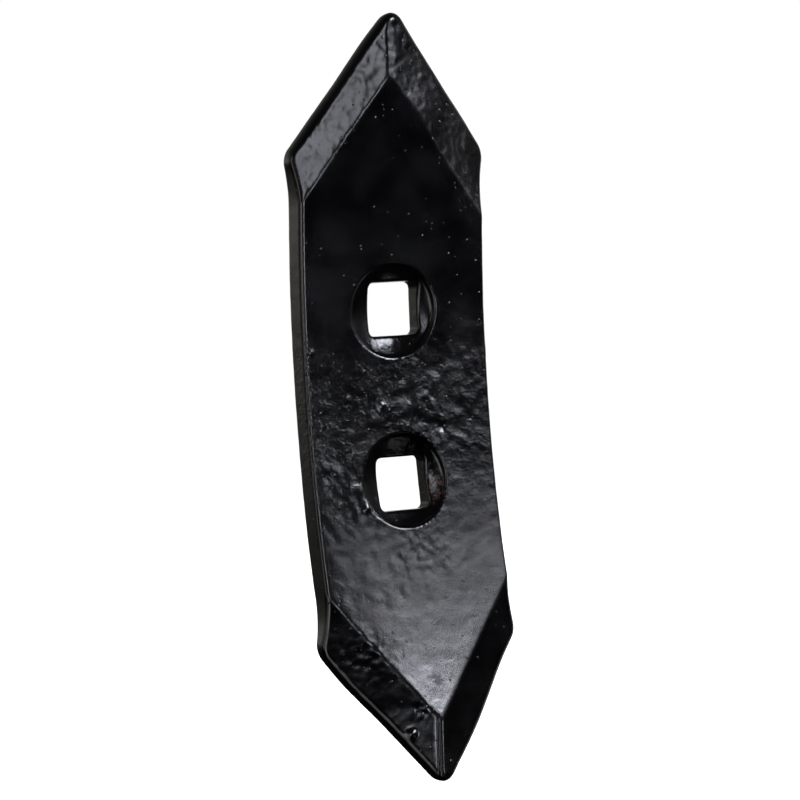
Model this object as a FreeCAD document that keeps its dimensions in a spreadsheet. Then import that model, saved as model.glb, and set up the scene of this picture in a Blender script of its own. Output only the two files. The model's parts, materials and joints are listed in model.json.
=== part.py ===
import FreeCAD, Part
import os
from math import acos, asin, atan2, cos, radians, sin, sqrt, tan

import Sketcher

# Reversible cultivator point: one forged blade with an arrow-shaped tip at each end,
# bowed along its length and held by two square-necked bolts sunk in round recesses.
#
# Frame: the origin is on the back (seat) face, halfway along the blade and between the two holes.
# +Z runs along the blade, +X across it, and -Y leaves the recessed front face.

DIMENSIONS = {
    # Whole blade.
    "length": 200.0,
    "thickness": 8.0,
    "bow_radius": 315.0,        # of the front face; the back face is concentric with it
    # Outline seen from the front.
    "body_width": 54.0,
    "shoulder_width": 58.0,     # across the sharp corners, before they are rounded
    "shoulder_height": 64.0,    # from mid-length to a shoulder
    "shoulder_round": 2.0,
    "flare_radius": 50.0,       # leads the straight side out to the shoulder
    "tip_round": 3.0,
    # Bevelled tips.
    "apex_height": 84.0,        # from mid-length to the start of a ridge
    "ridge_fall": 12.5,         # degrees the ridge drops behind the front face
    "facet_fall": 16.0,         # degrees a facet drops away from the ridge
    # Bolt seats.
    "hole_pitch": 45.0,
    "square_side": 14.0,
    "square_round": 1.5,
    "recess_radius": 12.5,
    "recess_land": 1.0,         # straight wall below the mouth, level with the hole's centre
    "recess_depth": 3.8,        # to where the bowl would level out, inside the square hole
    "level_radius": 5.0,
    # Softened edges of the forging.
    "ridge_round": 2.0,
    "facet_round": 1.5,
    "back_round": 1.2,
    "front_round": 0.8,
}

STOCK_SPARE = 6         # blank beyond the finished outline, on every side
WASTE_ABOVE = 10        # cleared past the tip
WASTE_BESIDE = 15       # cleared past the side
RIDGE_REACH = 50        # how far below the apex the facet cut starts, where it is already in the air
FRONT_CLEARANCE = 60    # cleared in front of the blade
MOUTH_CLEARANCE = 4     # cleared in front of a recess

doc = FreeCAD.newDocument("cultivator_point")
sheet = doc.addObject("Spreadsheet::Sheet", "dims")
for row, (alias, value) in enumerate(DIMENSIONS.items(), start=1):
    sheet.set("A%d" % row, alias)
    sheet.set("B%d" % row, str(value))
    sheet.setAlias("B%d" % row, alias)
doc.recompute()

body = doc.addObject("PartDesign::Body", "point_body")
body.Label = "point_body"
body.Placement = FreeCAD.Placement(FreeCAD.Vector(0, 0, 0), FreeCAD.Rotation())


# Helpers.

def vec(x, y):
    """Point or direction in a sketch's own plane."""
    return FreeCAD.Vector(x, y, 0)


def arc(centre, radius, start, end):
    """Anticlockwise arc between the directions of two points."""
    angles = [atan2(point.y - centre.y, point.x - centre.x) for point in (start, end)]
    circle = Part.Circle(centre, FreeCAD.Vector(0, 0, 1), radius)
    return Part.ArcOfCircle(circle, angles[0], angles[1])


def origin_plane(role):
    """One of the body's own origin planes."""
    return next(plane for plane in body.Origin.OriginFeatures if plane.Role == role)


def new_sketch(name, role):
    """Sketch lying on an origin plane of the body."""
    sketch = body.newObject("Sketcher::SketchObject", name)
    sketch.AttachmentSupport = [(origin_plane(role), "")]
    sketch.MapMode = "FlatFace"
    return sketch


def tie(sketch, kind, *geometry):
    """Constraint with no dimension."""
    sketch.addConstraint(Sketcher.Constraint(kind, *geometry))


def join(sketch, pairs):
    """Coincident ends, given as (line, end, line, end)."""
    for pair in pairs:
        tie(sketch, "Coincident", *pair)


def drive(sketch, kind, geometry, expression, name):
    """Named dimension that follows the spreadsheet."""
    index = sketch.addConstraint(Sketcher.Constraint(kind, *geometry))
    sketch.renameConstraint(index, name)
    sketch.setExpression("Constraints." + name, expression)


def on_bow(centre, radius, z):
    """Point of a bowed profile at a height along the blade; profiles are drawn as (y, z)."""
    return vec(centre.x + sqrt(radius ** 2 - (z - centre.y) ** 2), z)


# Bowed blank: the side profile is two concentric arcs, a little longer than the finished blade.

bow = DIMENSIONS["bow_radius"]
outer_bow = bow + DIMENSIONS["thickness"]
bow_centre = vec(-outer_bow, 0)
stock_half = DIMENSIONS["length"] / 2 + STOCK_SPARE
STOCK_HALF = "dims.length / 2 + %d" % STOCK_SPARE

side = new_sketch("side_profile", "YZ_Plane")
for radius in (bow, outer_bow):
    side.addGeometry(arc(bow_centre, radius, on_bow(bow_centre, radius, -stock_half),
                         on_bow(bow_centre, radius, stock_half)))
for end, z in ((1, -stock_half), (2, stock_half)):
    front_end = on_bow(bow_centre, bow, z)
    back_end = on_bow(bow_centre, outer_bow, z)
    end_line = side.addGeometry(Part.LineSegment(front_end, back_end))
    join(side, [(end_line, 1, 0, end), (end_line, 2, 1, end)])
    tie(side, "Horizontal", end_line)
tie(side, "Coincident", 0, 3, 1, 3)
tie(side, "PointOnObject", 0, 3, -1)
tie(side, "PointOnObject", -1, 1, 1)
drive(side, "Radius", (0, bow), "dims.bow_radius", "front_radius")
drive(side, "Radius", (1, outer_bow), "dims.bow_radius + dims.thickness", "back_radius")
drive(side, "DistanceY", (-1, 1, 0, 2, stock_half), STOCK_HALF, "upper_end")
drive(side, "DistanceY", (0, 1, -1, 1, stock_half), STOCK_HALF, "lower_end")
doc.recompute()

blank = body.newObject("PartDesign::Pad", "bowed_blank")
blank.Profile = side
blank.Midplane = True
blank.setExpression("Length", "dims.shoulder_width + 2 * %d" % STOCK_SPARE)
doc.recompute()


# Outline: what lies outside one quarter of it is cut away, and mirrored to the others below.
# It runs straight up the side, flares out to a shoulder, then straight up the flank to the tip.

half_width = DIMENSIONS["body_width"] / 2
flare = DIMENSIONS["flare_radius"]
shoulder_round = DIMENSIONS["shoulder_round"]
tip_round = DIMENSIONS["tip_round"]
shoulder = vec(DIMENSIONS["shoulder_width"] / 2, DIMENSIONS["shoulder_height"])
flare_offset = half_width + flare - shoulder.x
flare_centre = vec(half_width + flare, shoulder.y - sqrt(flare ** 2 - flare_offset ** 2))
flare_foot = vec(half_width, flare_centre.y)
tip = vec(0, DIMENSIONS["length"] / 2)
tip_centre = tip - vec(0, tip_round)

to_tip = tip_centre - shoulder
flank_angle = atan2(to_tip.y, to_tip.x) - acos(-tip_round / to_tip.Length)
flank_normal = vec(cos(flank_angle), sin(flank_angle))
flank_end = tip_centre + flank_normal * tip_round
shoulder_centre = shoulder - vec(shoulder_round, shoulder_round / 3)
flank_start = shoulder_centre + flank_normal * shoulder_round
flare_end = shoulder - vec(0, shoulder_round / 2)
far_corner = vec(half_width + WASTE_BESIDE, tip.y + WASTE_ABOVE)

outline = new_sketch("outline_waste", "XZ_Plane")
outline.addGeometry([
    Part.LineSegment(vec(half_width, 0), flare_foot),
    arc(flare_centre, flare, flare_end, flare_foot),
    arc(shoulder_centre, shoulder_round, flare_end, flank_start),
    Part.LineSegment(flank_start, flank_end),
    arc(tip_centre, tip_round, flank_end, tip),
    Part.LineSegment(tip, vec(0, far_corner.y)),
    Part.LineSegment(vec(0, far_corner.y), far_corner),
    Part.LineSegment(far_corner, vec(far_corner.x, 0)),
    Part.LineSegment(vec(far_corner.x, 0), vec(half_width, 0)),
])
straight, flare_arc, shoulder_arc, flank, tip_arc, above, top, beside, base = range(9)
sharp_shoulder = outline.addGeometry(Part.Point(shoulder), True)
tie(outline, "Tangent", straight, 2, flare_arc, 2)
tie(outline, "Tangent", flare_arc, 1, shoulder_arc, 1)
tie(outline, "Tangent", shoulder_arc, 2, flank, 1)
tie(outline, "Tangent", flank, 2, tip_arc, 1)
join(outline, [(tip_arc, 2, above, 1), (above, 2, top, 1), (top, 2, beside, 1),
               (beside, 2, base, 1), (base, 2, straight, 1)])
for upright in (straight, above, beside):
    tie(outline, "Vertical", upright)
for level in (top, base):
    tie(outline, "Horizontal", level)
tie(outline, "PointOnObject", straight, 1, -1)
tie(outline, "PointOnObject", tip_arc, 2, -2)
tie(outline, "PointOnObject", tip_arc, 3, -2)
tie(outline, "PointOnObject", sharp_shoulder, 1, flank)
tie(outline, "PointOnObject", sharp_shoulder, 1, flare_arc)
drive(outline, "DistanceX", (-1, 1, straight, 1, half_width), "dims.body_width / 2", "half_width")
drive(outline, "DistanceX", (-1, 1, sharp_shoulder, 1, shoulder.x),
      "dims.shoulder_width / 2", "shoulder_x")
drive(outline, "DistanceY", (-1, 1, sharp_shoulder, 1, shoulder.y),
      "dims.shoulder_height", "shoulder_z")
drive(outline, "DistanceY", (-1, 1, tip_arc, 2, tip.y), "dims.length / 2", "tip_z")
drive(outline, "Radius", (flare_arc, flare), "dims.flare_radius", "flare")
drive(outline, "Radius", (shoulder_arc, shoulder_round), "dims.shoulder_round", "shoulder_round")
drive(outline, "Radius", (tip_arc, tip_round), "dims.tip_round", "tip_round")
tie(outline, "DistanceY", above, WASTE_ABOVE)
tie(outline, "DistanceX", base, 2, base, 1, WASTE_BESIDE)
doc.recompute()

trim = body.newObject("PartDesign::Pocket", "outline_cut")
trim.Profile = outline
trim.Type = "ThroughAll"
trim.Midplane = True
doc.recompute()


# Bevelled tip: the ridge lies on the middle plane, on an arc like the front face's but turned
# about the apex, so that it falls away behind the front face towards the tip. The cut above it
# is carried sideways at the facet's slope, which leaves one facet.

apex = on_bow(bow_centre, bow, DIMENSIONS["apex_height"])
ridge_turn = asin(apex.y / bow) - radians(DIMENSIONS["ridge_fall"])
ridge_centre = apex - vec(cos(ridge_turn), sin(ridge_turn)) * bow
ridge_low = on_bow(ridge_centre, bow, apex.y - RIDGE_REACH)
ridge_high = on_bow(ridge_centre, bow, stock_half)

ridge = new_sketch("ridge_profile", "YZ_Plane")
ridge.addGeometry([
    arc(ridge_centre, bow, ridge_low, ridge_high),
    Part.LineSegment(ridge_high, vec(-FRONT_CLEARANCE, ridge_high.y)),
    Part.LineSegment(vec(-FRONT_CLEARANCE, ridge_high.y), vec(-FRONT_CLEARANCE, ridge_low.y)),
    Part.LineSegment(vec(-FRONT_CLEARANCE, ridge_low.y), ridge_low),
])
ridge.addGeometry([Part.LineSegment(bow_centre, apex), Part.LineSegment(apex, ridge_centre)], True)
ridge_arc, upper, front, lower, face_spoke, ridge_spoke = range(6)
join(ridge, [(ridge_arc, 2, upper, 1), (upper, 2, front, 1), (front, 2, lower, 1),
             (lower, 2, ridge_arc, 1), (face_spoke, 2, ridge_spoke, 1),
             (ridge_spoke, 2, ridge_arc, 3)])
tie(ridge, "Horizontal", upper)
tie(ridge, "Horizontal", lower)
tie(ridge, "Vertical", front)
tie(ridge, "PointOnObject", face_spoke, 1, -1)
tie(ridge, "PointOnObject", face_spoke, 2, ridge_arc)
drive(ridge, "DistanceX", (face_spoke, 1, -1, 1, outer_bow),
      "dims.bow_radius + dims.thickness", "bow_centre")
drive(ridge, "Distance", (face_spoke, bow), "dims.bow_radius", "face_radius")
drive(ridge, "Radius", (ridge_arc, bow), "dims.bow_radius", "ridge_radius")
drive(ridge, "DistanceY", (-1, 1, face_spoke, 2, apex.y), "dims.apex_height", "apex_z")
drive(ridge, "Angle", (ridge_spoke, 1, face_spoke, 2, radians(DIMENSIONS["ridge_fall"])),
      "dims.ridge_fall * 1 deg", "ridge_fall")
drive(ridge, "DistanceY", (-1, 1, ridge_arc, 1, ridge_low.y),
      "dims.apex_height - %d" % RIDGE_REACH, "low_end")
drive(ridge, "DistanceY", (-1, 1, ridge_arc, 2, ridge_high.y), STOCK_HALF, "high_end")
tie(ridge, "DistanceX", front, 1, -1, 1, FRONT_CLEARANCE)
doc.recompute()

facet = body.newObject("PartDesign::Pocket", "facet_cut")
facet.Profile = ridge
facet.UseCustomVector = True
facet.Direction = FreeCAD.Vector(1, tan(radians(DIMENSIONS["facet_fall"])), 0)
facet.AlongSketchNormal = True
facet.setExpression("Length", "dims.shoulder_width / 2 + %d" % STOCK_SPARE)
doc.recompute()

quarters = body.newObject("PartDesign::MultiTransform", "four_quarters")
quarters.Originals = [trim, facet]
across = body.newObject("PartDesign::Mirrored", "across")
across.MirrorPlane = (origin_plane("YZ_Plane"), [""])
along = body.newObject("PartDesign::Mirrored", "along")
along.MirrorPlane = (origin_plane("XY_Plane"), [""])
quarters.Transformations = [across, along]
body.Tip = quarters
doc.recompute()


# Bolt seat: half the recess's section, turned about the hole's axis. Below the mouth comes a
# short straight wall, then a shallow spherical bowl that meets the square hole's walls.

hole_z = DIMENSIONS["hole_pitch"] / 2
level_radius = DIMENSIONS["level_radius"]
recess_radius = DIMENSIONS["recess_radius"]
mouth_y = on_bow(bow_centre, bow, hole_z).x
floor_y = mouth_y + DIMENSIONS["recess_depth"]
land_y = mouth_y + DIMENSIONS["recess_land"]
clear_y = mouth_y - MOUTH_CLEARANCE
bowl_drop = floor_y - land_y
sphere_reach = (recess_radius ** 2 - level_radius ** 2 - bowl_drop ** 2) / (2 * bowl_drop)
floor_edge = vec(floor_y, hole_z + level_radius)
land_edge = vec(land_y, hole_z + recess_radius)
mouth_edge = vec(clear_y, hole_z + recess_radius)
axis_start = vec(clear_y, hole_z)
axis_end = vec(floor_y, hole_z)
bowl_centre = vec(land_y - sphere_reach, hole_z)
bowl_radius = (floor_edge - bowl_centre).Length
MOUTH = "(dims.bow_radius + dims.thickness - sqrt(dims.bow_radius ^ 2 - (dims.hole_pitch / 2) ^ 2))"

recess = new_sketch("recess_section", "YZ_Plane")
recess.addGeometry([
    Part.LineSegment(axis_start, axis_end),
    Part.LineSegment(axis_end, floor_edge),
    arc(bowl_centre, bowl_radius, floor_edge, land_edge),
    Part.LineSegment(land_edge, mouth_edge),
    Part.LineSegment(mouth_edge, axis_start),
])
middle, floor, bowl, land, mouth = range(5)
turning_axis = recess.addGeometry(Part.LineSegment(axis_start, axis_end), True)
join(recess, [(middle, 2, floor, 1), (floor, 2, bowl, 1), (bowl, 2, land, 1), (land, 2, mouth, 1),
              (mouth, 2, middle, 1), (turning_axis, 1, middle, 1), (turning_axis, 2, middle, 2)])
tie(recess, "PointOnObject", bowl, 3, middle)
tie(recess, "Horizontal", middle)
tie(recess, "Horizontal", land)
tie(recess, "Vertical", floor)
tie(recess, "Vertical", mouth)
drive(recess, "DistanceY", (-1, 1, middle, 1, hole_z), "dims.hole_pitch / 2", "hole_z")
drive(recess, "DistanceX", (middle, 2, -1, 1, -floor_y), MOUTH + " - dims.recess_depth", "floor")
drive(recess, "DistanceX", (land, 1, -1, 1, -land_y), MOUTH + " - dims.recess_land", "land")
drive(recess, "DistanceX", (land, 2, -1, 1, -clear_y), MOUTH + " + %d" % MOUTH_CLEARANCE, "clearance")
drive(recess, "DistanceY", (floor, 1, floor, 2, level_radius), "dims.level_radius", "level_radius")
drive(recess, "DistanceY", (middle, 2, land, 1, recess_radius), "dims.recess_radius", "recess_radius")
doc.recompute()

seat = body.newObject("PartDesign::Groove", "bolt_recess")
seat.Profile = recess
seat.ReferenceAxis = (recess, ["Axis0"])
seat.Angle = 360
doc.recompute()


# Square through-hole with rounded corners, and the second bolt seat mirrored from the first.

half_square = DIMENSIONS["square_side"] / 2
square_round = DIMENSIONS["square_round"]
hole_centre = vec(0, hole_z)

square = new_sketch("square_hole", "XZ_Plane")
for quarter_turn in range(4):
    angle = radians(90 * quarter_turn)
    onward = vec(cos(angle), sin(angle))
    outward = vec(sin(angle), -cos(angle))
    side_middle = hole_centre + outward * half_square
    reach = onward * (half_square - square_round)
    round_centre = side_middle + reach - outward * square_round
    round_end = round_centre + onward * square_round
    square.addGeometry(Part.LineSegment(side_middle - reach, side_middle + reach))
    square.addGeometry(arc(round_centre, square_round, side_middle + reach, round_end))
bottom_side, right_side, top_side, left_side = range(0, 8, 2)
for this_side in (bottom_side, right_side, top_side, left_side):
    this_corner = this_side + 1
    next_side = (this_side + 2) % 8
    tie(square, "Tangent", this_side, 2, this_corner, 1)
    tie(square, "Tangent", this_corner, 2, next_side, 1)
    if this_side != bottom_side:
        tie(square, "Equal", bottom_side + 1, this_corner)
for level in (bottom_side, top_side):
    tie(square, "Horizontal", level)
for upright in (right_side, left_side):
    tie(square, "Vertical", upright)
drive(square, "Radius", (bottom_side + 1, square_round), "dims.square_round", "corner_round")
drive(square, "DistanceX", (-1, 1, right_side, 1, half_square), "dims.square_side / 2", "right")
drive(square, "DistanceX", (left_side, 1, -1, 1, half_square), "dims.square_side / 2", "left")
drive(square, "DistanceY", (-1, 1, bottom_side, 1, hole_z - half_square),
      "(dims.hole_pitch - dims.square_side) / 2", "bottom")
drive(square, "DistanceY", (-1, 1, top_side, 1, hole_z + half_square),
      "(dims.hole_pitch + dims.square_side) / 2", "top")
doc.recompute()

punched = body.newObject("PartDesign::Pocket", "square_cut")
punched.Profile = square
punched.Type = "ThroughAll"
punched.Midplane = True
doc.recompute()

both_seats = body.newObject("PartDesign::Mirrored", "both_seats")
both_seats.Originals = [seat, punched]
both_seats.MirrorPlane = (origin_plane("XY_Plane"), [""])
body.Tip = both_seats
doc.recompute()


# Softened edges, found by where they lie on the blade.

def is_outer_wall(face):
    """True for the walls of the outline, which stand square to the front."""
    u_low, u_high, v_low, v_high = face.ParameterRange
    normal = face.normalAt((u_low + u_high) / 2, (v_low + v_high) / 2)
    centre = face.CenterOfMass
    in_seat = abs(centre.x) < recess_radius and abs(abs(centre.z) - hole_z) < recess_radius
    return abs(normal.y) < 0.01 and not in_seat


def edge_kind(edge, walls):
    """Sorts an edge into back, front, ridge or facet, or returns None."""
    first, last = edge.ParameterRange
    point = edge.valueAt((first + last) / 2)
    wall_count = sum(1 for wall in walls if any(edge.isSame(other) for other in wall.Edges))
    back_y = bow_centre.x + sqrt(outer_bow ** 2 - point.z ** 2)
    if wall_count == 1:
        return "back" if abs(point.y - back_y) < 0.05 else "front"
    if wall_count == 2 or abs(point.z) < hole_z + recess_radius:
        return None
    if abs(point.x) < 0.01:
        return "ridge"
    return "facet"


def soften(base, kinds, size_name):
    """Rounds every edge of the given kinds on the newest feature."""
    walls = [face for face in base.Shape.Faces if is_outer_wall(face)]
    picked = []
    for number, edge in enumerate(base.Shape.Edges, start=1):
        if edge_kind(edge, walls) in kinds:
            picked.append("Edge%d" % number)
    rounded = body.newObject("PartDesign::Fillet", size_name)
    rounded.Base = (base, picked)
    rounded.setExpression("Radius", "dims." + size_name)
    doc.recompute()
    return rounded


ridges = soften(both_seats, ("ridge",), "ridge_round")
facets = soften(ridges, ("facet",), "facet_round")
backs = soften(facets, ("back",), "back_round")
fronts = soften(backs, ("front",), "front_round")


# Check everything, then write the part.

def check(feature, earlier, removes):
    """Stops if a cutting feature took nothing away."""
    change = earlier.Shape.Volume - feature.Shape.Volume
    print("%-14s takes %9.1f mm3" % (feature.Name, change))
    if removes and change < 1:
        raise RuntimeError(feature.Name + " cut nothing")


steps = [blank, trim, facet, quarters, seat, punched, both_seats, ridges, facets, backs, fronts]
for earlier, feature in zip(steps, steps[1:]):
    check(feature, earlier, feature not in (ridges, facets))
for item in doc.Objects:
    if "Invalid" in item.State or "Error" in item.State:
        raise RuntimeError(item.Name + " did not compute")
for sketch in (side, outline, ridge, recess, square):
    if not sketch.FullyConstrained:
        raise RuntimeError(sketch.Name + " is loose")
solid = body.Shape
if solid.isNull() or not solid.isValid() or len(solid.Solids) != 1:
    raise RuntimeError("the blade is not one valid solid")

os.makedirs("parts", exist_ok=True)
solid.exportStep("parts/%s.step" % body.Label)
box = solid.optimalBoundingBox(True, False)
print("%s %.1f x %.1f x %.1f mm, %.0f mm3, %d faces" % (
    body.Label, box.XLength, box.YLength, box.ZLength, solid.Volume, len(solid.Faces)))
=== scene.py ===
import json
from math import asin, atan2, cos, pi, radians, sin, sqrt, tan

import bpy
import numpy as np
from mathutils import Matrix, Vector, noise


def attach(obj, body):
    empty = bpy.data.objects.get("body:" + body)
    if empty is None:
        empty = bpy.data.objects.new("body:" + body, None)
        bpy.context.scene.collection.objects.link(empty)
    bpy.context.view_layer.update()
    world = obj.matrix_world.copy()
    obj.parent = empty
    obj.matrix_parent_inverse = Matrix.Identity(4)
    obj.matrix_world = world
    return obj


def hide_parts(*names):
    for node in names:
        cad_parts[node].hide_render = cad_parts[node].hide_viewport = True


# A reversible cultivator point: one forged, bowed blade with two bevelled tips and two bolt seats, in
# glossy black paint. Its front faces -Y and its length runs along Z.

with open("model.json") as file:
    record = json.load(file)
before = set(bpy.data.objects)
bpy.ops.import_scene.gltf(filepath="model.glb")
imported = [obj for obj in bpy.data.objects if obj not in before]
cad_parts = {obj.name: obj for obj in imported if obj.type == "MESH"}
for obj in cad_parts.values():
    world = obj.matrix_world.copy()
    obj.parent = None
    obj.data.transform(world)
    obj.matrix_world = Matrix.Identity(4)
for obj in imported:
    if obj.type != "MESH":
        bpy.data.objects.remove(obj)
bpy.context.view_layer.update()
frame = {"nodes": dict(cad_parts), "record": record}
scene = bpy.context.scene
MM = 0.001

# The blade's dimensions as the CAD part has them. The blade's lengths are in millimetres.

bolt_mount = next(mount for mount in frame["record"]["mounts"] if mount["name"] == "bolt_recesses")
HALF_LENGTH = 100.0
THICKNESS = 8.0
BOW = 315.0             # radius of the front's curve
OUTER_BOW = BOW + THICKNESS
HALF_WIDTH = 27.0       # of the straight middle
SHOULDER_X, SHOULDER_Z = 29.0, 64.0
SHOULDER_ROUND = 2.0
FLARE = 50.0            # radius of the arcs that widen the middle to the shoulders
TIP_ROUND = 3.0
TIP_BLEND = 5.0         # the overlap of two flanks at an acute angle rounds the tip by less than this
APEX_Z = 84.0           # where a ridge starts
RIDGE_FALL = radians(12.5)
FACET_SLOPE = tan(radians(16.0))
HOLE_Z = bolt_mount["dims"]["spacing_y_mm"] / 2
MOUTH_Y = bolt_mount["pos_m"][1] / MM
RECESS = bolt_mount["dims"]["hole_r_mm"]
RECESS_LAND = 1.0       # depth of the straight wall above the bowl
RECESS_DEPTH = 3.8
LEVEL_RADIUS = 5.0      # where the bowl reaches its depth
HALF_SQUARE = 7.0
SQUARE_ROUND = 1.5

# What forging left on this one blade. Of two values, the first is the upper end's.
RECESS_SHIFT_X = -0.5
RECESS_SHIFTS_Z = 0.6, 1.0
SQUARE_SHIFTS_X = 0.9, 0.2
SQUARE_SHIFTS_Z = 1.15, 0.1
BOWL_LIFTS = -2.1, 1.5  # struck at a slant: the upper bowl is flattest below, the lower one steepest
RECESS_SHRINK = 0.35    # the coat of paint narrows the recesses
RIDGE_SHIFTS = -1.9, -1.3
RIDGE_LEAN_Z, RIDGE_LEAN_RUN = 80.0, 16.0   # the lower ridge leans over to its shift on the way down
CREST_DEPTH = 0.23
CREST_SLOPES = tan(radians(5)), tan(radians(-8))

# Spots are x, z, radius and height. These push the outline out and swell the upper right bevel.
OUTLINE_SWELLINGS = (
    (23.0, 73.0, 12.0, 0.8),
    (-6.0, 93.0, 10.0, 0.5),
    (12.0, 86.0, 9.0, 0.4),
    (12.0, -86.0, 14.0, 1.25),
    (-22.0, -73.0, 10.0, 0.7),
)
BEVEL_SWELLING = (9.0, 75.0, 6.0, 0.30)

# How soft the painted edges are.
FRONT_ROUND = 1.1
TIP_FRONT_ROUND = 1.9   # the edge is rolled over further on the tips
ROLL_Z, ROLL_RUN = SHOULDER_Z - 4, 10.0
BACK_ROUND = 1.4
BACK_SINK = 0.12        # keeps the back's relief inside the part's own thickness
RIDGE_ROUND = 0.15
FACET_ROUND = 0.22
BOWL_ROUND = 0.5
RIM_ROUND = 0.45
SQUARE_EDGE = 0.6

# The even mesh.
VOXEL = 0.5
RELAX_STEPS = 12
RELAX_SHARE = 0.6       # of the way to the neighbours' mean in each step
LONGEST_MOVE = 0.5
LEAST_STEEPNESS = 0.25


# Distances to the blade's surfaces; negative is inside the steel.

def bell(distance, reach):
    """1 in the middle, falling smoothly to 0."""
    return np.exp(-(distance / reach) ** 2)


def mound(x, z, spot):
    """Height of a spot's smooth hill."""
    spot_x, spot_z, radius, height = spot
    return height * bell(np.hypot(x - spot_x, z - spot_z), radius)


def round_max(a, b, radius):
    """Overlap of two solids whose shared edge is rounded."""
    beyond = np.hypot(np.maximum(radius + a, 0), np.maximum(radius + b, 0))
    return np.minimum(np.maximum(a, b), -radius) + beyond


def flank_line():
    """Normal and offset of the straight edge from a shoulder to the tip."""
    to_tip = Vector((-SHOULDER_X, HALF_LENGTH - TIP_ROUND - SHOULDER_Z))
    angle = atan2(to_tip.y, to_tip.x) - (pi / 2 + asin(TIP_ROUND / to_tip.length))
    normal = Vector((cos(angle), sin(angle)))
    return normal, normal.dot(Vector((SHOULDER_X, SHOULDER_Z)))


# The flanks' line, and the centres of the flare arcs and, seen from the side, of a ridge's arc.
FLANK_NORMAL, FLANK_OFFSET = flank_line()
FLARE_X = HALF_WIDTH + FLARE
FLARE_Z = SHOULDER_Z - sqrt(FLARE ** 2 - (FLARE_X - SHOULDER_X) ** 2)
APEX_Y = -OUTER_BOW + sqrt(BOW ** 2 - APEX_Z ** 2)
RIDGE_TURN = asin(APEX_Z / BOW) - RIDGE_FALL
RIDGE_Y = APEX_Y - BOW * cos(RIDGE_TURN)
RIDGE_Z = APEX_Z - BOW * sin(RIDGE_TURN)


def outline_distance(x, z):
    """Distance outside the outline, as seen from the front."""
    across, along = np.abs(x), np.abs(z)
    side = np.where(along < FLARE_Z, across - HALF_WIDTH,
                    FLARE - np.hypot(across - FLARE_X, along - FLARE_Z))
    flanks = [FLANK_NORMAL.x * reach + FLANK_NORMAL.y * along - FLANK_OFFSET for reach in (x, -x)]
    distance = round_max(side, round_max(flanks[0], flanks[1], TIP_BLEND), SHOULDER_ROUND)
    for spot in OUTLINE_SWELLINGS:
        distance = distance - mound(x, z, spot)
    return distance


def ridge_x(z):
    """Where a ridge runs across the blade; the hammer left both a little off the middle."""
    lean = np.clip((-z - RIDGE_LEAN_Z) / RIDGE_LEAN_RUN, 0, 1)
    return np.where(z > 0, RIDGE_SHIFTS[0], RIDGE_SHIFTS[1] * lean)


def facet_distance(x, y, z):
    """Distance in front of the two bevels of the nearer tip and the narrow crest between them."""
    along = np.abs(z) - RIDGE_Z
    across = x - ridge_x(z)
    crest_slope = np.where(z > 0, *CREST_SLOPES)
    depths = (
        FACET_SLOPE * across - mound(x, z, BEVEL_SWELLING),
        -FACET_SLOPE * across,
        CREST_DEPTH + crest_slope * across,
    )
    distances = []
    for depth in depths:
        distances.append((BOW - np.hypot(y - depth - RIDGE_Y, along)) / sqrt(1 + FACET_SLOPE ** 2))
    return round_max(round_max(distances[0], distances[1], RIDGE_ROUND), distances[2], RIDGE_ROUND)


def seat_distance(x, y, z):
    """Distances outside the nearer recess and the nearer square hole."""
    upper = z > 0
    up = np.where(upper, z - HOLE_Z, z + HOLE_Z)
    recess_x = x - RECESS_SHIFT_X
    recess_up = up - np.where(upper, *RECESS_SHIFTS_Z)
    land_y = MOUTH_Y + RECESS_LAND
    drop = RECESS_DEPTH - RECESS_LAND
    reach = (RECESS ** 2 - LEVEL_RADIUS ** 2 - drop ** 2) / (2 * drop)
    from_axis = np.hypot(recess_x, recess_up) + RECESS_SHRINK
    from_bowl = np.hypot(recess_x, recess_up - np.where(upper, *BOWL_LIFTS))
    ball = np.hypot(from_bowl, y - (land_y - reach)) - sqrt(reach ** 2 + RECESS ** 2)
    recess = round_max(from_axis - RECESS, ball, BOWL_ROUND)

    square_x = x - np.where(upper, *SQUARE_SHIFTS_X)
    square_up = up - np.where(upper, *SQUARE_SHIFTS_Z)
    corner_x = np.abs(square_x) - HALF_SQUARE + SQUARE_ROUND
    corner_z = np.abs(square_up) - HALF_SQUARE + SQUARE_ROUND
    outer = np.hypot(np.maximum(corner_x, 0), np.maximum(corner_z, 0))
    square = outer + np.minimum(np.maximum(corner_x, corner_z), 0) - SQUARE_ROUND
    return recess, square


def blade_distance(points):
    """Distance outside the finished blade, close to its surface."""
    x, y, z = points.T
    from_bow = np.hypot(y + OUTER_BOW, z)
    front = round_max(BOW - from_bow, facet_distance(x, y, z), FACET_ROUND)
    on_tip = np.clip((np.abs(z) - ROLL_Z) / ROLL_RUN, 0, 1)
    front_round = FRONT_ROUND + (TIP_FRONT_ROUND - FRONT_ROUND) * on_tip
    solid = round_max(front, outline_distance(x, z), front_round)
    solid = round_max(solid, from_bow - OUTER_BOW + BACK_SINK, BACK_ROUND)
    recess, square = seat_distance(x, y, z)
    solid = round_max(solid, -recess, RIM_ROUND)
    return round_max(solid, -square, SQUARE_EDGE)


def slope(points, step=0.02):
    """Gradient of the distance."""
    sides = []
    for axis in np.eye(3) * step:
        sides.append(blade_distance(points + axis) - blade_distance(points - axis))
    return np.stack(sides, axis=1) / (2 * step)


def settle(points, rounds):
    """Moves points along the gradient onto the surface."""
    for _ in range(rounds):
        gradient = slope(points)
        steepness = np.maximum((gradient ** 2).sum(axis=1), LEAST_STEEPNESS)
        move = blade_distance(points) / steepness
        points = points - np.clip(move, -LONGEST_MOVE, LONGEST_MOVE)[:, None] * gradient
    return points


# Blade mesh: an even mesh grown from the CAD node, then settled on the formula above.

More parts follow.
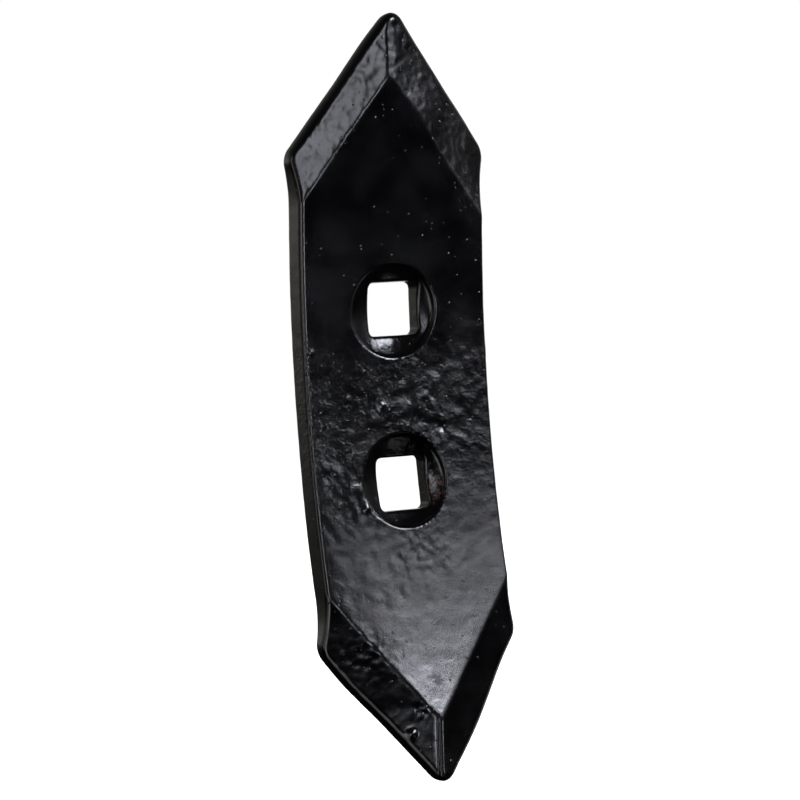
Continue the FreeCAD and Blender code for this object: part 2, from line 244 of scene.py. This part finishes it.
def even_mesh(cad_node):
    """Vertices and quads of an even remesh of a CAD node."""
    copy = bpy.data.objects.new("even_copy", cad_node.data.copy())
    scene.collection.objects.link(copy)
    remesh = copy.modifiers.new("even", "REMESH")
    remesh.mode = "VOXEL"
    remesh.voxel_size = VOXEL * MM
    grown = copy.evaluated_get(bpy.context.evaluated_depsgraph_get()).data
    points = np.empty(len(grown.vertices) * 3)
    grown.vertices.foreach_get("co", points)
    quads = np.empty(len(grown.loops), int)
    grown.loops.foreach_get("vertex_index", quads)
    bpy.data.objects.remove(copy)
    return points.reshape(-1, 3) / MM, quads.reshape(-1, 4)


def neighbour_mean(points, quads):
    """Mean of each point's neighbours along the edges."""
    total = np.zeros_like(points)
    count = np.zeros(len(points))
    for start, end in ((0, 1), (1, 2), (2, 3), (3, 0)):
        a, b = quads[:, start], quads[:, end]
        for here, there in ((a, b), (b, a)):
            for axis in range(3):
                total[:, axis] += np.bincount(here, points[there, axis], len(points))
            count += np.bincount(here, minlength=len(points))
    return total / count[:, None]


def unit(vectors):
    """Vectors of length 1."""
    return vectors / np.linalg.norm(vectors, axis=1)[:, None]


def blade_surface(cad_node):
    """Evenly spread points on the formula's surface, their normals and the quads between them."""
    points, quads = even_mesh(cad_node)
    points = settle(points, rounds=4)
    for _ in range(RELAX_STEPS):
        normals = unit(slope(points))
        drift = RELAX_SHARE * (neighbour_mean(points, quads) - points)
        drift -= (drift * normals).sum(axis=1)[:, None] * normals
        points = settle(points + drift, rounds=1)
    points = settle(points, rounds=2)
    return points, unit(slope(points)), quads


# Forging scale, hammer waves and marks, as heights along the surface's normal.

LONG_WAVE, SHORT_WAVE = 0.12, 0.04
BAND_WRINKLE, BAND_LUMP = 0.075, 0.12
MOTTLE, LUMP = 0.030, 0.018
BACK_WRINKLE, BACK_LUMP = 0.03, 0.04
BEVEL_GRAIN = 0.06
LOWER_BEVEL_SHARE = 0.35
BAND_Z, BAND_SLANT, BAND_REACH = -6.0, 0.35, 21.0   # the wrinkled band across the middle
BEND = 1.1              # how far the wrinkles are pushed out of line
PATCHY_MEAN, PATCHY_SWING, PATCHY_RANGE = 0.75, 0.7, (0.4, 1.2)
FRONT_START, FRONT_RUN = 0.6, 0.3   # how squarely a surface faces the front where its marks start
BEVEL_FADE = 0.3        # the bevel's grain fades in over this distance from the edge to the field
BEVEL_CUT = 0.15        # a bevel lies deeper than this below the field
SEED_STEP = 17.3        # carries each noise to a place of its own

# Single marks on the front, and spots of coarser grain.
MARKS = (
    (-8.0, -86.6, 1.05, 0.80),      # bead of paint on the lower left bevel
    (-12.4, -28.1, 0.8, 0.40),      # bead on the lower recess's rim
    (-5.2, -1.6, 0.8, 0.30),
    (-24.9, 13.3, 0.7, 0.30),
    (-15.4, 0.7, 0.6, 0.20),
    (12.9, -6.4, 0.9, 0.15),
    (12.1, -8.4, 0.9, -0.20),
)
ROUGH_SPOTS = (
    (4.0, -41.0, 8.0, 0.05),
    (0.7, -73.7, 2.2, 0.05),        # worn spot above the lower apex
    (-19.0, -65.0, 6.0, 0.12),      # flaking paint on the lower left bevel
    (-4.8, -81.0, 1.8, 0.25),
)


def noise_at(points, stretch, seed):
    """Smooth noise from -1 to 1; stretch is the size of its lumps, or their sizes along x, y and z."""
    places = points / np.array(stretch) + seed * SEED_STEP
    return np.array([noise.noise(place) for place in places.tolist()])


def relief(points, normals):
    """Height of the relief at each point."""
    x, y, z = points.T
    facing = np.clip(-normals[:, 1], 0, 1)
    facing_back = np.clip(normals[:, 1], 0, 1)
    front = np.clip((facing - FRONT_START) / FRONT_RUN, 0, 1)
    height = LONG_WAVE * noise_at(points, (24, 24, 34), 1) + SHORT_WAVE * noise_at(points, (8, 8, 11), 2)

    patchy = np.clip(PATCHY_MEAN + PATCHY_SWING * noise_at(points, (12, 12, 8), 7), *PATCHY_RANGE)
    band = bell(z - BAND_Z - BAND_SLANT * x, BAND_REACH) * facing * patchy
    bend = noise_at(points, 5, 3)
    swirl = noise_at(points, 5, 8)
    bent = points + BEND * np.stack([bend, bend, swirl], axis=1)
    wrinkles = 1 - 2 * np.abs(noise_at(bent, (4.0, 4.0, 4.4), 4))
    lumps = noise_at(bent, (2.2, 2.7, 2.6), 5)
    mottle = noise_at(bent, 5, 6)
    height += band * (BAND_WRINKLE * wrinkles + BAND_LUMP * lumps) + MOTTLE * mottle + LUMP * lumps
    height += facing_back * (BACK_WRINKLE * wrinkles + BACK_LUMP * lumps)

    bevel = np.clip(facet_distance(x, y, z) + BEVEL_FADE, 0, BEVEL_FADE) / BEVEL_FADE * front
    bevel *= np.hypot(y + OUTER_BOW, z) > BOW + BEVEL_CUT
    grain = noise_at(points, 1.5, 9)
    coarse_grain = noise_at(bent, 2.6, 11)
    height += bevel * np.where(z > 0, 1, LOWER_BEVEL_SHARE) * BEVEL_GRAIN * (grain + coarse_grain)
    for spot in ROUGH_SPOTS:
        height += mound(x, z, spot) * facing * grain
    for spot in MARKS:
        height += mound(x, z, spot) * front
    return height


def add_blade():
    """The blade's object, riding on the part's only body in place of its CAD node."""
    points, normals, quads = blade_surface(frame["nodes"]["point_body"])
    points = points + relief(points, normals)[:, None] * normals
    mesh = bpy.data.meshes.new("blade")
    mesh.from_pydata((points * MM).tolist(), [], quads.tolist())
    mesh.update()
    mesh.polygons.foreach_set("use_smooth", [True] * len(mesh.polygons))
    blade = bpy.data.objects.new("blade", mesh)
    scene.collection.objects.link(blade)
    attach(blade, "root")
    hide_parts("point_body")
    return blade


# Shader nodes.

def nodes_of(owner):
    """Emptied node tree of a material or a world."""
    owner.use_nodes = True
    tree = owner.node_tree
    tree.nodes.clear()
    return tree


def node(tree, kind, links=(), **values):
    """New shader node; links are (input, socket) pairs and values are properties or inputs."""
    made = tree.nodes.new(kind)
    for name, value in values.items():
        if hasattr(made, name):
            setattr(made, name, value)
        else:
            made.inputs[name.replace("_", " ")].default_value = value
    for name, socket in links:
        tree.links.new(socket, made.inputs[name])
    return made


def math_node(tree, operation, *values):
    """Math node fed by links or numbers."""
    made = tree.nodes.new("ShaderNodeMath")
    made.operation = operation
    for number, value in enumerate(values):
        if isinstance(value, (int, float)):
            made.inputs[number].default_value = value
        else:
            tree.links.new(value, made.inputs[number])
    return made.outputs[0]


def ramp_node(tree, value, start, end, smooth=True):
    """0 at start and 1 at end."""
    made = tree.nodes.new("ShaderNodeMapRange")
    made.interpolation_type = "SMOOTHSTEP" if smooth else "LINEAR"
    made.inputs["From Min"].default_value = start
    made.inputs["From Max"].default_value = end
    tree.links.new(value, made.inputs["Value"])
    return made.outputs[0]


def blend_node(tree, share, first, second):
    """Colour between two colours."""
    made = tree.nodes.new("ShaderNodeMix")
    made.data_type = "RGBA"
    tree.links.new(share, made.inputs[0])
    for number, colour in ((6, first), (7, second)):
        if isinstance(colour, tuple):
            made.inputs[number].default_value = (*colour, 1)
        else:
            tree.links.new(colour, made.inputs[number])
    return made.outputs[2]


def noise_node(tree, place, scale, detail, distortion=0.0):
    """Noise with lumps about 1 / scale across."""
    made = node(tree, "ShaderNodeTexNoise", [("Vector", place)], Scale=scale, Detail=detail,
                Distortion=distortion)
    return made.outputs[0]


def scattered(tree, place, scale, radius, share):
    """Small round spots in some of the cells of a cell pattern; radius is a share of a cell."""
    cells = node(tree, "ShaderNodeTexVoronoi", [("Vector", place)], Scale=scale)
    pick = node(tree, "ShaderNodeSeparateColor", [("Color", cells.outputs["Color"])]).outputs[0]
    chosen = ramp_node(tree, pick, 1 - share, 1 - share + 0.05)
    return math_node(tree, "MULTIPLY", ramp_node(tree, cells.outputs["Distance"], radius, radius * 0.3),
                     chosen)


def spot_node(tree, place, centre, outer, inner):
    """1 within the inner distance of a point, 0 beyond the outer."""
    apart = node(tree, "ShaderNodeVectorMath", [("Vector", place)], operation="DISTANCE")
    apart.inputs[1].default_value = centre
    return ramp_node(tree, apart.outputs["Value"], outer, inner)


# Black paint. Its scales are per millimetre and its heights are in millimetres.

BAND_BELOW, BAND_ABOVE = (-40, -10), (26, 4)    # levels where the wrinkled coat starts and is full
BAND_HEIGHT, FIELD_HEIGHT = 0.085, 0.015
STREAK_PITCH = 0.9
STREAK_HEIGHT = 0.05
STREAK_SIDES = 1.6, 0.7             # off the ridge, where the streaks start and are full
STREAK_LEVELS = -82, -85
RUST_CENTRE = (9.5, -6.5, -25.0)    # in the lower bowl
WORN_CENTRE = (0.5, -16.4, -73.2)   # above the lower apex
GLOSS_ROUGHNESS = 0.125
DEEP_BLACK = (0.0008, 0.0008, 0.0012)
PALE_BLACK = (0.0022, 0.0021, 0.0023)
RUST = (0.050, 0.013, 0.007)


def paint_bump(tree, place):
    """Normal of the coat: grain, streaks down the lower ridge, wrinkles, orange peel and specks."""
    split = node(tree, "ShaderNodeSeparateXYZ", [("Vector", place)])
    level = split.outputs["Z"]
    grain = noise_node(tree, place, scale=1.8, detail=2.0)
    height = math_node(tree, "MULTIPLY", grain, 0.0025)

    lean = ramp_node(tree, level, -RIDGE_LEAN_Z, -RIDGE_LEAN_Z - RIDGE_LEAN_RUN, smooth=False)
    from_ridge = math_node(tree, "MULTIPLY_ADD", lean, -RIDGE_SHIFTS[1], split.outputs["X"])
    streaks = math_node(tree, "COSINE", math_node(tree, "MULTIPLY", from_ridge, 2 * pi / STREAK_PITCH))
    beside = ramp_node(tree, math_node(tree, "ABSOLUTE", from_ridge), *STREAK_SIDES)
    near = math_node(tree, "MULTIPLY", beside, ramp_node(tree, level, *STREAK_LEVELS))
    streak_height = math_node(tree, "MULTIPLY", near, STREAK_HEIGHT)
    height = math_node(tree, "MULTIPLY_ADD", streaks, streak_height, height)

    band = math_node(tree, "MULTIPLY", ramp_node(tree, level, *BAND_BELOW),
                     ramp_node(tree, level, *BAND_ABOVE))
    wrinkle = noise_node(tree, place, scale=0.50, detail=2.0, distortion=1.0)
    wrinkle_height = math_node(tree, "MULTIPLY_ADD", band, BAND_HEIGHT, FIELD_HEIGHT)
    height = math_node(tree, "MULTIPLY_ADD", wrinkle, wrinkle_height, height)

    peel = noise_node(tree, place, scale=0.55, detail=2.0, distortion=0.8)
    pits = scattered(tree, place, scale=0.28, radius=0.08, share=0.3)
    grit = scattered(tree, place, scale=0.35, radius=0.15, share=0.5)
    dust = scattered(tree, place, scale=0.60, radius=0.15, share=0.3)
    for layer, layer_height in ((peel, 0.012), (pits, -0.12), (grit, 0.10), (dust, 0.05)):
        height = math_node(tree, "MULTIPLY_ADD", layer, layer_height, height)
    return node(tree, "ShaderNodeBump", [("Height", height)], Strength=1.0, Distance=MM).outputs[0]


def black_paint():
    """Glossy black with patches of gloss, rust specks and a worn spot."""
    paint = bpy.data.materials.new("black_paint")
    tree = nodes_of(paint)
    place = node(tree, "ShaderNodeTexCoord").outputs["Object"]
    in_mm = node(tree, "ShaderNodeMapping", [("Vector", place)], Scale=[1 / MM] * 3).outputs[0]
    patches = noise_node(tree, in_mm, scale=0.09, detail=3.0)
    spread = noise_node(tree, in_mm, scale=0.8, detail=3.0)
    rust = math_node(tree, "MULTIPLY", spot_node(tree, in_mm, RUST_CENTRE, outer=5.0, inner=1.5),
                     ramp_node(tree, spread, 0.52, 0.62))
    worn = math_node(tree, "MULTIPLY", spot_node(tree, in_mm, WORN_CENTRE, outer=3.2, inner=1.0),
                     ramp_node(tree, spread, 0.40, 0.55))
    roughness = GLOSS_ROUGHNESS
    for share, extra in ((ramp_node(tree, patches, 0.35, 0.65), 0.07), (rust, 0.35), (worn, 0.30)):
        roughness = math_node(tree, "MULTIPLY_ADD", share, extra, roughness)
    black = blend_node(tree, ramp_node(tree, patches, 0.3, 0.7), DEEP_BLACK, PALE_BLACK)
    colour = blend_node(tree, rust, black, RUST)
    normal = paint_bump(tree, in_mm)
    shader = node(tree, "ShaderNodeBsdfPrincipled",
                  [("Base Color", colour), ("Roughness", roughness), ("Normal", normal)])
    node(tree, "ShaderNodeOutputMaterial", [("Surface", shader.outputs[0])])
    return paint


# Stage, in metres: glowing cards, world, floor and camera.

COOL = (0.88, 0.90, 1.0)
WARM = (1.0, 0.97, 0.93)
# Brightness of the reflected room at levels from straight below (0) to straight above (1).
SKY = ((0.0, 0.01), (0.43, 0.02), (0.5, 0.17), (0.55, 0.60), (0.62, 0.36), (0.72, 0.20), (1.0, 0.12))
FRONT_GLOW = 0.2        # how much of the room's glow is left in front of the blade
FLOOR_HALF = 4.0
FLOOR_GAP = 0.0005      # below the blade's lower tip
CAMERA_AZIMUTH, CAMERA_ELEVATION = -26.8, 0.5
CAMERA_ROLL = radians(-3.93)
CAMERA_DISTANCE = 0.7
LENS, SENSOR = 118.76, 36.0   # in millimetres
SHIFT_X, SHIFT_Y = 0.0175, -0.0014
CLIP_END = 20.0


def direction(azimuth, elevation):
    """Unit vector; azimuth 0 is -Y and 90 is +X."""
    a, e = radians(azimuth), radians(elevation)
    return Vector((sin(a) * cos(e), -cos(a) * cos(e), sin(e)))


def rectangle(name, sides, levels, material):
    """Object with one face, from the first to the last of sides and of levels."""
    shape = bpy.data.meshes.new(name)
    corners = [(sides[0], levels[0], 0), (sides[-1], levels[0], 0),
               (sides[-1], levels[-1], 0), (sides[0], levels[-1], 0)]
    shape.from_pydata(corners, [], [(0, 1, 2, 3)])
    shape.materials.append(material)
    card = bpy.data.objects.new(name, shape)
    scene.collection.objects.link(card)
    return card


def panel(name, azimuth, sides, levels, strength, colour=(1, 1, 1), distance=0.8):
    """Upright glowing card facing the blade's axis, seen only in reflections.

    sides and levels hold where its glow starts, is full, is full still and ends, across the card
    and up from the origin.
    """
    material = bpy.data.materials.new(name)
    tree = nodes_of(material)
    place = node(tree, "ShaderNodeTexCoord").outputs["Object"]
    split = node(tree, "ShaderNodeSeparateXYZ", [("Vector", place)])
    power = strength
    for axis, (start, full, still, end) in (("X", sides), ("Y", levels)):
        power = math_node(tree, "MULTIPLY", ramp_node(tree, split.outputs[axis], start, full), power)
        power = math_node(tree, "MULTIPLY", ramp_node(tree, split.outputs[axis], end, still), power)
    glow = node(tree, "ShaderNodeEmission", [("Strength", power)], Color=(*colour, 1))
    node(tree, "ShaderNodeOutputMaterial", [("Surface", glow.outputs[0])])

    card = rectangle(name, sides, levels, material)
    away = direction(azimuth, 0)
    card.matrix_world = Matrix((
        (-away.y, 0, away.x, away.x * distance),
        (away.x, 0, away.y, away.y * distance),
        (0, 1, 0, 0),
        (0, 0, 0, 1)))
    card.visible_camera = False
    card.visible_shadow = False


def studio_world():
    """White for the camera; for the paint a dark room with a glow above the horizon, mostly behind."""
    world = bpy.data.worlds.new("studio")
    scene.world = world
    tree = nodes_of(world)
    place = node(tree, "ShaderNodeTexCoord").outputs["Generated"]
    split = node(tree, "ShaderNodeSeparateXYZ", [("Vector", place)])
    level = ramp_node(tree, split.outputs["Z"], -1, 1, smooth=False)
    sky = node(tree, "ShaderNodeValToRGB", [(0, level)])
    elements = sky.color_ramp.elements
    for number, (sky_level, value) in enumerate(SKY):
        # A new ramp has two elements.
        element = elements[number] if number < 2 else elements.new(sky_level)
        element.position = sky_level
        element.color = (*[value * part for part in WARM], 1)
    behind = ramp_node(tree, split.outputs["Y"], -0.5, 0.4)
    glow = math_node(tree, "MULTIPLY_ADD", behind, 1 - FRONT_GLOW, FRONT_GLOW)
    lit = node(tree, "ShaderNodeBackground", [("Color", sky.outputs[0]), ("Strength", glow)])
    seen = node(tree, "ShaderNodeBackground", Color=(1, 1, 1, 1))
    from_camera = node(tree, "ShaderNodeLightPath").outputs["Is Camera Ray"]
    mix = node(tree, "ShaderNodeMixShader", [(0, from_camera), (1, lit.outputs[0]), (2, seen.outputs[0])])
    node(tree, "ShaderNodeOutputWorld", [("Surface", mix.outputs[0])])


def white_floor():
    """White ground that the paint doesn't reflect."""
    material = bpy.data.materials.new("floor")
    tree = nodes_of(material)
    matte = node(tree, "ShaderNodeBsdfDiffuse", Color=(0.9, 0.9, 0.9, 1))
    glow = node(tree, "ShaderNodeEmission", Strength=1.0)
    both = node(tree, "ShaderNodeAddShader", [(0, matte.outputs[0]), (1, glow.outputs[0])])
    node(tree, "ShaderNodeOutputMaterial", [("Surface", both.outputs[0])])
    floor = rectangle("floor", (-FLOOR_HALF, FLOOR_HALF), (-FLOOR_HALF, FLOOR_HALF), material)
    floor.location.z = -HALF_LENGTH * MM - FLOOR_GAP
    floor.visible_glossy = False
    floor.visible_diffuse = False


def photo_camera():
    """The camera as in the photo, a little rolled."""
    away = direction(CAMERA_AZIMUTH, CAMERA_ELEVATION)
    across = direction(CAMERA_AZIMUTH + 90, 0)
    upward = away.cross(across)
    right = cos(CAMERA_ROLL) * across + sin(CAMERA_ROLL) * upward
    up = cos(CAMERA_ROLL) * upward - sin(CAMERA_ROLL) * across
    camera_data = bpy.data.cameras.new("camera")
    camera_data.lens = LENS
    camera_data.sensor_width = SENSOR
    camera_data.shift_x = SHIFT_X
    camera_data.shift_y = SHIFT_Y
    camera_data.clip_end = CLIP_END
    camera = bpy.data.objects.new("camera", camera_data)
    scene.collection.objects.link(camera)
    camera.matrix_world = Matrix((
        (right.x, up.x, away.x, away.x * CAMERA_DISTANCE),
        (right.y, up.y, away.y, away.y * CAMERA_DISTANCE),
        (right.z, up.z, away.z, away.z * CAMERA_DISTANCE),
        (0, 0, 0, 1)))
    scene.camera = camera


blade = add_blade()
blade.data.materials.append(black_paint())

panel("panel_key", 40, (-0.206, -0.178, 0.05, 0.25), (0.015, 0.215, 0.32, 0.53), 23.0, COOL)
panel("panel_fill", 40, (-0.18, -0.12, 0.0, 0.20), (-0.03, 0.05, 0.10, 0.20), 0.8, COOL)
panel("panel_left", -8, (-0.18, -0.05, 0.0, 0.14), (-0.12, 0.13, 0.16, 0.34), 5.0, COOL)
panel("panel_streak", 10, (-0.10, -0.05, 0.03, 0.07), (-0.17, -0.12, -0.07, -0.03), 9.0, COOL)
panel("panel_under", 34, (-0.25, -0.10, 0.10, 0.25), (-0.85, -0.62, -0.52, -0.38), 0.4)
panel("panel_side", -72, (-0.20, -0.10, 0.10, 0.20), (-0.25, -0.05, 0.20, 0.40), 1.2, WARM)
panel("panel_rear", 135, (-0.40, -0.18, 0.18, 0.40), (-0.80, 0.20, 0.35, 0.70), 2.4, distance=0.9)
panel("panel_below", -45, (-0.32, 0.02, 0.12, 0.32), (-0.95, -0.12, -0.08, 0.02), 2.6)
panel("panel_right", 95, (-0.155, -0.10, 0.15, 0.25), (-0.50, -0.10, 0.05, 0.50), 1.3)
studio_world()
white_floor()
photo_camera()
scene.view_settings.view_transform = "Standard"
